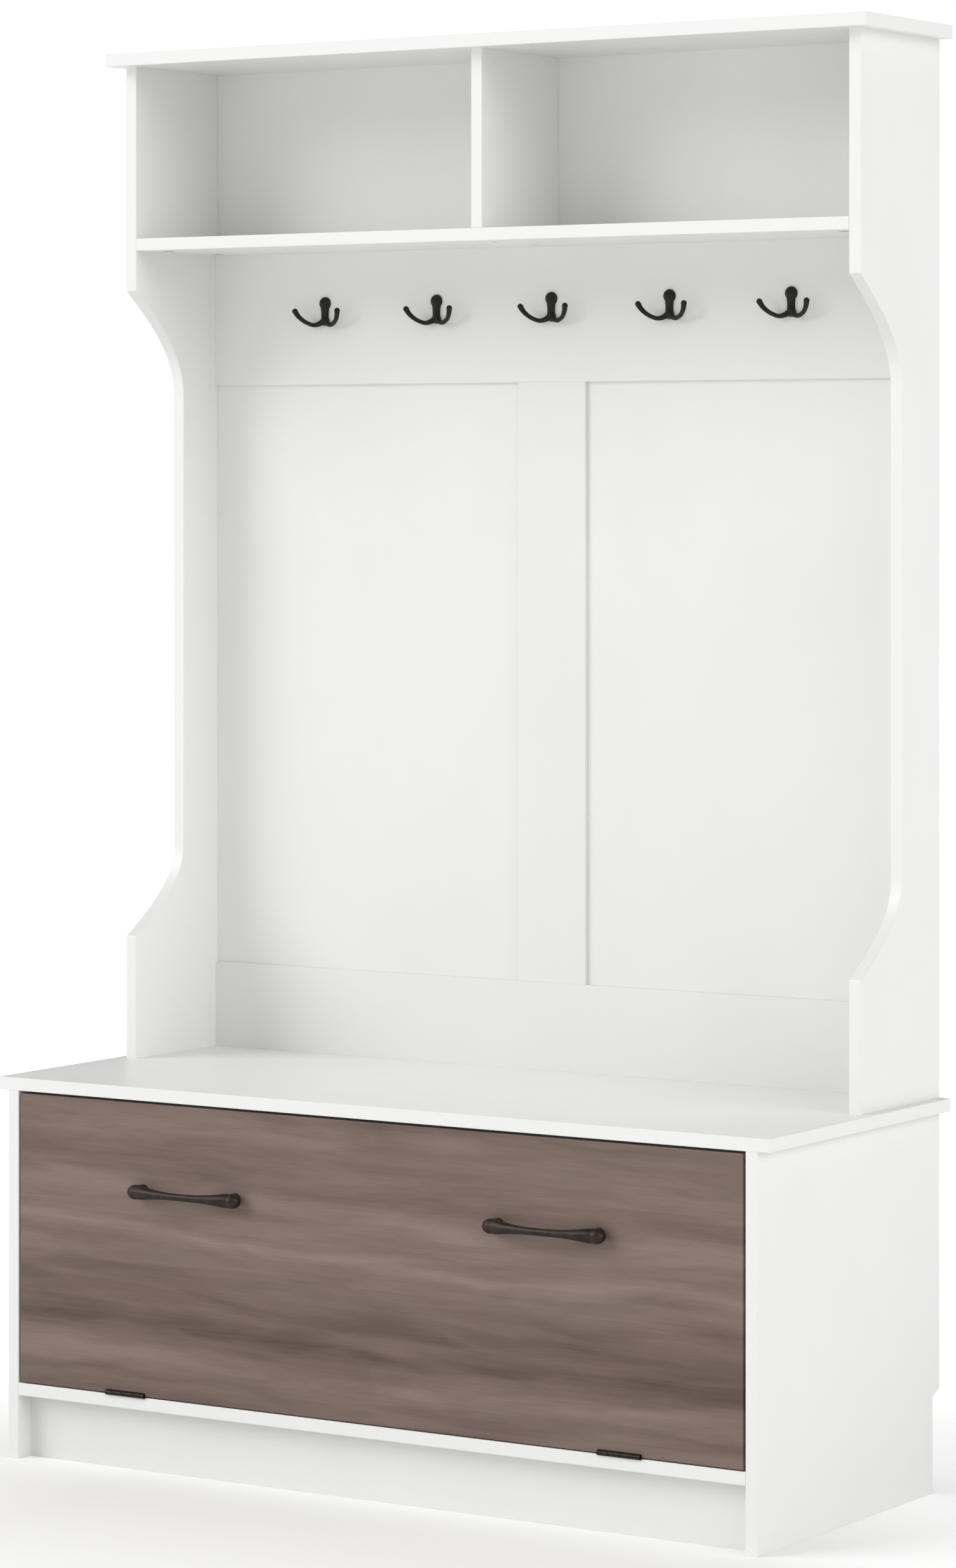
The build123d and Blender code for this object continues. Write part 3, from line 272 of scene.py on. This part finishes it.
def walnut():
    """Grey-brown walnut print with broad cathedral bands along the door, fibre lines and pores."""
    finish = Finish("walnut_foil", Specular_IOR_Level=0.4)
    low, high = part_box("drop_door")
    drift = finish.noise((1.5, 1.5, 4.0), detail=2, roughness=0.5, shift=(3.1, 0, 0.4))
    ripple = finish.noise((5.0, 5.0, 30.0), detail=3, roughness=0.6, distortion=0.5, shift=(0.7, 0, 1.9))
    axes = finish.add("ShaderNodeSeparateXYZ", {"Vector": finish.place})
    along = axes.outputs["X"]
    height = finish.math("ADD", axes.outputs["Z"], finish.math("MULTIPLY", along, WALNUT_FALL))
    for waver, reach in ((drift, WALNUT_DRIFT), (ripple, WALNUT_RIPPLE)):
        height = finish.math("ADD", height, finish.span(waver, *NOISE_WIDE, -reach, reach))
    share = finish.span(height, low.z, high.z)
    bands = finish.ramp(share, [(place, (level, level, level, 1.0)) for place, level in WALNUT_BANDS])
    drawn_out = finish.math("MULTIPLY", along, 0.10)
    long_lines = finish.add(
        "ShaderNodeTexWave",
        {
            "Vector": finish.add("ShaderNodeCombineXYZ", {"X": drawn_out, "Z": height}).outputs["Vector"],
            "Scale": 11.0,
            "Distortion": 4.0,
            "Detail": 3.0,
            "Detail Scale": 5.0,
            "Detail Roughness": 0.55,
        },
        wave_type="BANDS",
        bands_direction="Z",
        wave_profile="SIN",
    ).outputs["Fac"]
    patches = finish.noise((4.5, 4.5, 30.0), detail=3, roughness=0.6, distortion=0.6, shift=(0.0, 0.0, 7.3))
    fibre = finish.noise((9.0, 9.0, 620.0), detail=4, roughness=0.65)
    pores = finish.noise((70.0, 70.0, 1500.0), detail=2, roughness=0.6, shift=(1.0, 0.0, 0.0))
    level = bands
    for figure, extent, reach in (
        (long_lines, (0.00, 1.00), 0.06),
        (patches, (0.36, 0.64), 0.11),
        (fibre, NOISE_WIDE, 0.09),
    ):
        level = finish.math("ADD", level, finish.span(figure, *extent, -reach, reach))
    wood = finish.ramp(level, WALNUT_TONES)
    blush = finish.noise((2.4, 2.4, 15.0), detail=3, roughness=0.6, shift=(5.0, 0.0, 2.0))
    wood = finish.mix(finish.span(blush, 0.52, 0.72, to_high=0.22), wood, WALNUT_BLUSH)
    pore = finish.span(pores, 0.66, 0.76)
    wood = finish.mix(finish.math("MULTIPLY", pore, 0.3), wood, WALNUT_PORE)
    edge = finish.edges(HANDLED_WIDTH)
    wood = finish.mix(finish.math("MULTIPLY", edge, 0.5), wood, WALNUT_EDGE)
    dull = finish.span(fibre, *NOISE_MIDDLE, 0.42, 0.54)
    dull = finish.math("ADD", dull, finish.math("MULTIPLY", pore, 0.12))
    grain_height = finish.math("SUBTRACT", fibre, finish.math("MULTIPLY", pore, 0.8))
    normal = finish.bump(grain_height, 0.05 * MM, strength=0.5, under=finish.rounded(BOARD_ROUNDING))
    return finish.wear(wood, dull, normal)


# Metals, from dark to light, and for castings where the lacquer is rubbed.
BLACK_CAST_TONES = (tone(24, 22, 21), tone(42, 40, 38), tone(104, 96, 88))
BRONZE_CAST_TONES = (tone(42, 33, 28), tone(62, 51, 43), tone(122, 100, 78))
BLACK_STEEL_TONES = (tone(40, 37, 34), tone(62, 58, 54))
ZINC_TONES = (tone(150, 152, 156), tone(196, 198, 200))
ZAMAK_TONES = (tone(142, 142, 140), tone(178, 177, 172))


def cast(name, tones, metallic):
    """Cast and lacquered metal: sand-cast skin, cloudy lacquer and rubbed corners."""
    dark, light, worn = tones
    finish = Finish(name, Metallic=metallic, Specular_IOR_Level=0.5)
    cloud = finish.noise((60, 60, 60), detail=4, roughness=0.6)
    colour = finish.mix(finish.span(cloud, 0.35, 0.65), dark, light)
    edge = finish.edges(1.0 * MM, low=0.01, high=0.2)
    rub = finish.span(finish.noise((160, 160, 160), detail=4, roughness=0.7), 0.48, 0.62)
    colour = finish.mix(finish.math("MULTIPLY", finish.math("MULTIPLY", edge, rub), 0.55), colour, worn)
    dull = finish.span(cloud, *NOISE_MIDDLE, 0.35, 0.51)
    skin = finish.noise((900, 900, 900), detail=3, roughness=0.6)
    pits = finish.span(finish.noise((380, 380, 380), detail=1), 0.25, 0.42)
    normal = finish.bump(pits, 0.05 * MM, strength=0.4)
    normal = finish.bump(skin, 0.06 * MM, strength=0.5, under=normal)
    return finish.wear(colour, dull, normal)


def plated(name, tones, roughness):
    """Stamped and plated metal: spangle, rolling lines and softened corners."""
    dark, light = tones
    finish = Finish(name, Metallic=1.0)
    spangle = finish.add("ShaderNodeTexVoronoi", {"Vector": finish.place, "Scale": 420.0}).outputs["Color"]
    cloud = finish.noise((90, 90, 90), detail=4, roughness=0.6)
    patch = finish.math("ADD", finish.math("MULTIPLY", spangle, 0.45), finish.math("MULTIPLY", cloud, 0.55))
    colour = finish.mix(finish.span(patch, *NOISE_MIDDLE), dark, light)
    rolling = finish.noise((2600, 90, 90), detail=2, roughness=0.6)
    dull = finish.span(cloud, *NOISE_MIDDLE, roughness - 0.06, roughness + 0.1)
    normal = finish.bump(rolling, 0.012 * MM, strength=0.5, under=finish.rounded(0.25 * MM))
    return finish.wear(colour, dull, normal)


def beech():
    """Turned beech of the dowels, with rays and darker flecks along the grain."""
    finish = Finish("beech_dowel", Specular_IOR_Level=0.3)
    rays = finish.noise((60, 900, 900), detail=3, roughness=0.6)
    fleck = finish.span(finish.noise((300, 1400, 1400), detail=1), 0.62, 0.7)
    colour = finish.ramp(rays, [(0.25, tone(196, 160, 118)), (0.75, tone(226, 196, 156))])
    colour = finish.mix(finish.math("MULTIPLY", fleck, 0.5), colour, tone(150, 110, 76))
    normal = finish.bump(rays, 0.05 * MM, strength=0.6)
    return finish.wear(colour, finish.span(rays, *NOISE_MIDDLE, 0.55, 0.7), normal)


def moulded():
    """Injection-moulded white plastic of the catch housings, with spark-eroded texture."""
    finish = Finish("moulded_plastic", Specular_IOR_Level=0.5)
    cloud = finish.noise((120, 120, 120), detail=3)
    colour = finish.ramp(cloud, [(0.3, tone(226, 224, 217)), (0.7, tone(238, 237, 232))])
    erosion = finish.noise((1500, 1500, 1500), detail=2, roughness=0.7)
    normal = finish.bump(erosion, 0.03 * MM, strength=0.6, under=finish.rounded(0.4 * MM))
    return finish.wear(colour, finish.span(cloud, *NOISE_MIDDLE, 0.42, 0.52), normal)


def ferrite():
    """Sintered grey ferrite of the catch magnets."""
    finish = Finish("ferrite_magnet", Metallic=0.35)
    grains = finish.noise((1100, 1100, 1100), detail=3, roughness=0.7)
    colour = finish.ramp(grains, [(0.3, tone(46, 45, 47)), (0.7, tone(78, 76, 78))])
    dull = finish.span(grains, *NOISE_MIDDLE, 0.55, 0.75)
    return finish.wear(colour, dull, finish.bump(grains, 0.04 * MM, strength=0.6))


FINISHES = {
    "white_melamine": melamine("melamine_white", BOARD_TONES, BOARD_PEEL),
    "white_sheet": melamine("sheet_white", SHEET_TONES, SHEET_PEEL),
    "walnut_melamine": walnut(),
    "black_cast": cast("cast_black", BLACK_CAST_TONES, metallic=0.55),
    "bronze_cast": cast("cast_bronze", BRONZE_CAST_TONES, metallic=0.6),
    "black_steel": plated("steel_black", BLACK_STEEL_TONES, roughness=0.42),
    "zinc_steel": plated("steel_zinc", ZINC_TONES, roughness=0.32),
    "cast_cam": plated("zamak_cam", ZAMAK_TONES, roughness=0.46),
    "beech": beech(),
    "white_plastic": moulded(),
    "magnet": ferrite(),
}

# Boards whose front-facing edges get the brighter band tone, part of which is painted sheen.
SHEEN_BANDED_NODES = (
    "bench_bottom",
    "bench_side_left",
    "bench_side_right",
    "bench_top",
    "hutch_divider",
    "hutch_shelf",
    "hutch_side_left",
    "hutch_side_right",
    "hutch_top",
)
sheen_banded = melamine("melamine_banded_sheen", BOARD_TONES, BOARD_PEEL, BOARD_BAND_AND_SHEEN)

for node_name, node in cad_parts.items():
    for material_slot in node.material_slots:
        slot_name = material_slot.material.name.split(".")[0]
        material_slot.material = sheen_banded if node_name in SHEEN_BANDED_NODES else FINISHES[slot_name]


# ---------------------------------------------------------------- mesh building
PATH_STEP = 0.01             # share of a path looked ahead and back for its direction


def mesh_object(name, points, faces):
    mesh = bpy.data.meshes.new(name)
    mesh.from_pydata([tuple(p) for p in points], [], faces)
    mesh.shade_smooth()
    made = bpy.data.objects.new(name, mesh)
    scene.collection.objects.link(made)
    return made


def curve_through(stops, share):
    """Catmull-Rom value at share 0 to 1 of the way along stops, which may be numbers or vectors."""
    spans = len(stops) - 1
    index = min(int(share * spans), spans - 1)
    t = share * spans - index
    before = stops[max(index - 1, 0)]
    start, end = stops[index], stops[index + 1]
    after = stops[min(index + 2, spans)]
    return 0.5 * (
        2 * start
        + (end - before) * t
        + (2 * before - 5 * start + 4 * end - after) * t * t
        + (3 * start - before - 3 * end + after) * t * t * t
    )


def ring_faces(rings, sides):
    """Faces of a closed skin over rings of points, with a cap on its first and last ring."""
    faces = []
    for ring in range(rings - 1):
        near = ring * sides
        far = near + sides
        for side in range(sides):
            following = (side + 1) % sides
            faces.append((near + side, near + following, far + following, far + side))
    faces.append(tuple(reversed(range(sides))))
    faces.append(tuple(range((rings - 1) * sides, rings * sides)))
    return faces


def tube_points(path, radii, rings, sides):
    """Rings round a curved path, square to it and without twist."""
    points = []
    rise = Vector((0, 1, 0))
    for ring in range(rings):
        share = ring / (rings - 1)
        middle = curve_through(path, share)
        ahead = curve_through(path, min(share + PATH_STEP, 1))
        before = curve_through(path, max(share - PATH_STEP, 0))
        heading = (ahead - before).normalized()
        rise = (rise - rise.dot(heading) * heading).normalized()
        across = heading.cross(rise)
        radius = curve_through(radii, share)
        for side in range(sides):
            angle = 2 * math.pi * side / sides
            points.append(middle + radius * (math.cos(angle) * across + math.sin(angle) * rise))
    return points


def ball_points(middle, half_sizes, rings, sides):
    """Rings of latitude of an ellipsoid, from its top to its foot."""
    points = []
    for ring in range(rings):
        tilt = math.pi * (ring + 0.5) / rings
        for side in range(sides):
            angle = 2 * math.pi * side / sides
            way = (math.sin(tilt) * math.cos(angle), math.sin(tilt) * math.sin(angle), math.cos(tilt))
            points.append(middle + Vector([half * part for half, part in zip(half_sizes, way)]))
    return points


def box_object(name, low, high):
    corners = [(x, y, z) for x in (low[0], high[0]) for y in (low[1], high[1]) for z in (low[2], high[2])]
    faces = [(0, 1, 3, 2), (4, 6, 7, 5), (0, 4, 5, 1), (2, 3, 7, 6), (0, 2, 6, 4), (1, 5, 7, 3)]
    return mesh_object(name, corners, faces)


# ---------------------------------------------------------------- cast coat hooks
# Sizes are in millimetres from the casting's own middle on the face that it is screwed to.
HOOK_COUNT = 5
HOOK_VOXEL = 0.55 * MM
HOOK_HEAD = Vector((0.0, -0.6, 8.5))
HOOK_HEAD_SIZE = (8.1, 5.4, 8.1)
HOOK_FOOT = Vector((0.0, -0.6, -13.0))
HOOK_FOOT_SIZE = (6.1, 4.9, 6.1)
HOOK_NECK = [Vector((0.0, -0.8, height)) for height in (9, 4, -2, -8, -13)]
HOOK_NECK_RADII = (6.2, 5.6, 5.0, 4.9, 5.4)
HOOK_SEATS = (8.5, -3.5)     # heights of the screw seats
HOOK_SEAT_DEPTHS = (-12.0, 1.0)
HOOK_SEAT_RADIUS = 3.3
HOOK_SEAT_SIDES = 32
HOOK_SCREW_TOP = 11.6        # height of the upper screw's head at its top
HOOK_ARM = (
    Vector((0.0, -2.0, -12.0)),
    Vector((6.0, -4.4, -16.2)),
    Vector((13.2, -7.4, -17.8)),
    Vector((22.0, -11.8, -14.0)),
    Vector((28.2, -17.0, -7.6)),
    Vector((31.2, -20.6, -1.0)),
)
HOOK_ARM_RADII = (4.2, 3.3, 2.7, 2.7, 3.0, 3.5)
HOOK_TIP_RADIUS = 3.6

SOFTENING = 0.5
SOFTENING_ROUNDS = 5
BEHIND = ((-0.2, 0.0, -0.2), (0.2, 0.1, 0.2))     # what is cut away behind a casting, in metres


def to_side(point, way):
    """The point, or with way -1 its mirror image on the other side."""
    return Vector((way * point.x, point.y, point.z))


class Blank:
    """Overlapping closed shapes, in millimetres, that are cast into one skin standing on y = 0."""

    def __init__(self):
        self.points = []
        self.faces = []

    def take(self, more, rings, sides):
        first = len(self.points)
        self.faces.extend(tuple(first + i for i in face) for face in ring_faces(rings, sides))
        self.points.extend(p * MM for p in more)

    def ball(self, middle, half_sizes, rings, sides):
        self.take(ball_points(middle, half_sizes, rings, sides), rings, sides)

    def tube(self, path, radii, rings, sides):
        self.take(tube_points(path, radii, rings, sides), rings, sides)

    def cast(self, name, voxel, cutters):
        """The softened skin's mesh, flat behind and with the cutters taken out."""
        blank = mesh_object(name, self.points, self.faces)
        remesh = blank.modifiers.new("skin", "REMESH")
        remesh.mode = "VOXEL"
        remesh.voxel_size = voxel
        soften = blank.modifiers.new("soften", "SMOOTH")
        soften.factor = SOFTENING
        soften.iterations = SOFTENING_ROUNDS
        behind = box_object(f"{name}_behind", *BEHIND)
        for cutter in (behind, *cutters):
            trim = blank.modifiers.new("trim", "BOOLEAN")
            trim.operation = "DIFFERENCE"
            trim.solver = "EXACT"
            trim.object = cutter
        bpy.context.view_layer.update()
        shaped = bpy.data.meshes.new_from_object(blank.evaluated_get(bpy.context.evaluated_depsgraph_get()))
        shaped.name = name
        for helper in (blank, behind, *cutters):
            bpy.data.objects.remove(helper)
        return shaped


def hook_blank():
    """One cast hook about its own middle on the rail's face, which is the plane y = 0."""
    shape = Blank()
    shape.ball(HOOK_HEAD, HOOK_HEAD_SIZE, rings=24, sides=40)
    shape.ball(HOOK_FOOT, HOOK_FOOT_SIZE, rings=24, sides=40)
    shape.tube(HOOK_NECK, HOOK_NECK_RADII, rings=24, sides=32)
    for way in (-1, 1):
        path = [to_side(point, way) for point in HOOK_ARM]
        shape.tube(path, HOOK_ARM_RADII, rings=40, sides=24)
        shape.ball(path[-1], (HOOK_TIP_RADIUS,) * 3, rings=20, sides=24)
    seats = []
    for index, height in enumerate(HOOK_SEATS):
        points = []
        for depth in HOOK_SEAT_DEPTHS:
            for side in range(HOOK_SEAT_SIDES):
                angle = 2 * math.pi * side / HOOK_SEAT_SIDES
                across = Vector((math.cos(angle), 0, math.sin(angle))) * HOOK_SEAT_RADIUS
                points.append((Vector((0, depth, height)) + across) * MM)
        faces = ring_faces(len(HOOK_SEAT_DEPTHS), HOOK_SEAT_SIDES)
        seats.append(mesh_object(f"hook_seat_{index}", points, faces))
    return shape.cast("hook_cast_shape", HOOK_VOXEL, seats)


hook_shape = hook_blank()
rail_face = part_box("hook_rail")[0].y
screws_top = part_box("hook_screws")[1].z
for number in range(1, HOOK_COUNT + 1):
    node_name = f"coat_hook_{number}"
    low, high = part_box(node_name)
    hook = bpy.data.objects.new(f"hook_cast_{number}", hook_shape)
    scene.collection.objects.link(hook)
    hook.location = ((low.x + high.x) / 2, rail_face, screws_top - HOOK_SCREW_TOP * MM)
    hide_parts(node_name)
    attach(hook, "cabinet")
hook_shape.materials.clear()
hook_shape.materials.append(FINISHES["black_cast"])

# ---------------------------------------------------------------- cast pulls
PULL_VOXEL = 0.6 * MM
PULL_FOOT = Vector((68.6, -11.0, 0.0))
PULL_BULB = (10.2, 9.2, 8.5)
PULL_STEM = (Vector((65.0, 3.0, 0.6)), Vector((65.4, -2.0, 0.6)), Vector((67.0, -9.0, 0.2)))
PULL_STEM_RADII = (7.4, 7.4, 8.0)
# The bar's middle line from its end to the middle of the pull, and its radii.
PULL_BAR = (
    Vector((70.0, -11.0, 0.0)),
    Vector((59.0, -12.8, 0.0)),
    Vector((46.0, -15.8, 0.0)),
    Vector((32.0, -17.9, 0.0)),
    Vector((16.0, -19.5, 0.0)),
    Vector((0.0, -20.0, 0.0)),
)
PULL_BAR_RADII = (7.8, 8.0, 6.3, 5.0, 4.3, 4.2)


def pull_blank():
    """One cast bow pull about its own middle on the door's face, which is the plane y = 0."""
    shape = Blank()
    # The right half runs from the middle out, without the middle itself.
    path = [to_side(point, -1) for point in PULL_BAR] + list(PULL_BAR[-2::-1])
    shape.tube(path, PULL_BAR_RADII + PULL_BAR_RADII[-2::-1], rings=100, sides=32)
    for way in (-1, 1):
        stem = [to_side(point, way) for point in PULL_STEM]
        shape.ball(to_side(PULL_FOOT, way), PULL_BULB, rings=28, sides=36)
        shape.tube(stem, PULL_STEM_RADII, rings=12, sides=36)
    return shape.cast("pull_cast_shape", PULL_VOXEL, [])


pull_shape = pull_blank()
door_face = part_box("drop_door")[0].y
for side_name in ("left", "right"):
    node_name = f"handle_{side_name}"
    low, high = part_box(node_name)
    piece = bpy.data.objects.new(f"pull_cast_{side_name}", pull_shape)
    scene.collection.objects.link(piece)
    piece.location = ((low.x + high.x) / 2, door_face, (low.z + high.z) / 2)
    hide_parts(node_name)
    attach(piece, "door")
pull_shape.materials.clear()
pull_shape.materials.append(FINISHES["bronze_cast"])

# ---------------------------------------------------------------- floor and light
WHITE = (1.0, 1.0, 1.0, 1.0)
FLOOR_HALF = 60.0
FLOOR_TONES = ((0.3, tone(247, 247, 247)), (0.7, tone(250, 250, 249)))
# The floor glows a little, more with the distance from the middle, in place of a lit studio sweep.
FLOOR_GLOW = (0.0, 0.26)
FLOOR_GLOW_REACH = (0.5, 2.0)
# Painted light, seen only by the camera: glow that grows away from the bench's footprint, and more so beside
# and behind it where the bench's shadow falls, so the floor near the bench stays darker.
SEEN_GLOW = (0.08, 0.33)
SEEN_GLOW_REACH = (0.0, 1.0)
SEEN_FOOTPRINT = (0.50, 0.20, 10.0)     # half sizes, so high that only the plan counts
SEEN_SIDES = (
    # axis, start, end, added glow
    ("X", -0.30, -0.60, 0.12),
    ("X", 0.50, 0.65, 0.05),
    ("Y", -0.10, 0.30, 0.24),
)


def floor_paint():
    """Matt white paint with a faint orange peel, and the glow."""
    paint = Finish("floor_paint", Specular_IOR_Level=0.1, Emission_Color=WHITE)
    cloud = paint.noise((0.8, 0.8, 0.8), detail=3)
    peel = paint.noise((60, 60, 60), detail=3)
    glow = paint.span(paint.vector_math("LENGTH", paint.place), *FLOOR_GLOW_REACH, *FLOOR_GLOW)

    beyond = paint.vector_math("SUBTRACT", paint.vector_math("ABSOLUTE", paint.place), SEEN_FOOTPRINT)
    gap = paint.vector_math("LENGTH", paint.vector_math("MAXIMUM", beyond))
    axes = paint.add("ShaderNodeSeparateXYZ", {"Vector": paint.place}).outputs
    seen_glow = paint.span(gap, *SEEN_GLOW_REACH, *SEEN_GLOW)
    for axis, start, end, added in SEEN_SIDES:
        seen_glow = paint.math("ADD", seen_glow, paint.span(axes[axis], start, end, to_high=added))

    # Painted light: the extra glow shows only to the camera and lifts the floor where the bench shades it.
    direct = paint.add("ShaderNodeLightPath").outputs["Is Camera Ray"]
    extra = paint.math("MULTIPLY", direct, paint.math("SUBTRACT", seen_glow, glow))
    paint.feed(paint.math("ADD", glow, extra), paint.shader.inputs["Emission Strength"])
    return paint.wear(
        paint.ramp(cloud, FLOOR_TONES),
        paint.span(cloud, *NOISE_MIDDLE, 0.75, 0.85),
        paint.bump(peel, 0.02 * MM, strength=0.3),
    )


corners = [(x * FLOOR_HALF, y * FLOOR_HALF, 0) for x, y in ((-1, -1), (1, -1), (1, 1), (-1, 1))]
floor = mesh_object("floor", corners, [(0, 1, 2, 3)])
floor.data.materials.append(floor_paint())

# The white sky shows at full strength and lights the object with less.
SKY_LIGHT = 0.37
LAMPS = {
    # name: (degrees right of the front, degrees up, light on a facing white surface)
    "left": (-45, 30, 0.44),
    "front_right": (60, 30, 0.165),
    "right": (90, 20, 0.28),
}
LAMP_SPREAD = math.radians(40)

world = bpy.data.worlds.new("studio")
scene.world = world
world.use_nodes = True
sky = world.node_tree
backdrop = sky.nodes["Background"]
backdrop.inputs["Color"].default_value = WHITE
seen = sky.nodes.new("ShaderNodeLightPath")
strength = sky.nodes.new("ShaderNodeMapRange")
strength.inputs["To Min"].default_value = SKY_LIGHT
strength.inputs["To Max"].default_value = 1.0
sky.links.new(seen.outputs["Is Camera Ray"], strength.inputs["Value"])
sky.links.new(strength.outputs["Result"], backdrop.inputs["Strength"])

for lamp_name, (turn, rise, power) in LAMPS.items():
    source = bpy.data.lights.new(lamp_name, "SUN")
    source.angle = LAMP_SPREAD
    source.energy = power * math.pi
    lamp = bpy.data.objects.new(lamp_name, source)
    scene.collection.objects.link(lamp)
    across = math.radians(turn)
    up = math.radians(rise)
    way = Vector((math.sin(across) * math.cos(up), -math.cos(across) * math.cos(up), math.sin(up)))
    lamp.rotation_euler = way.to_track_quat("Z", "Y").to_euler()

# ---------------------------------------------------------------- end
bpy.context.view_layer.update()
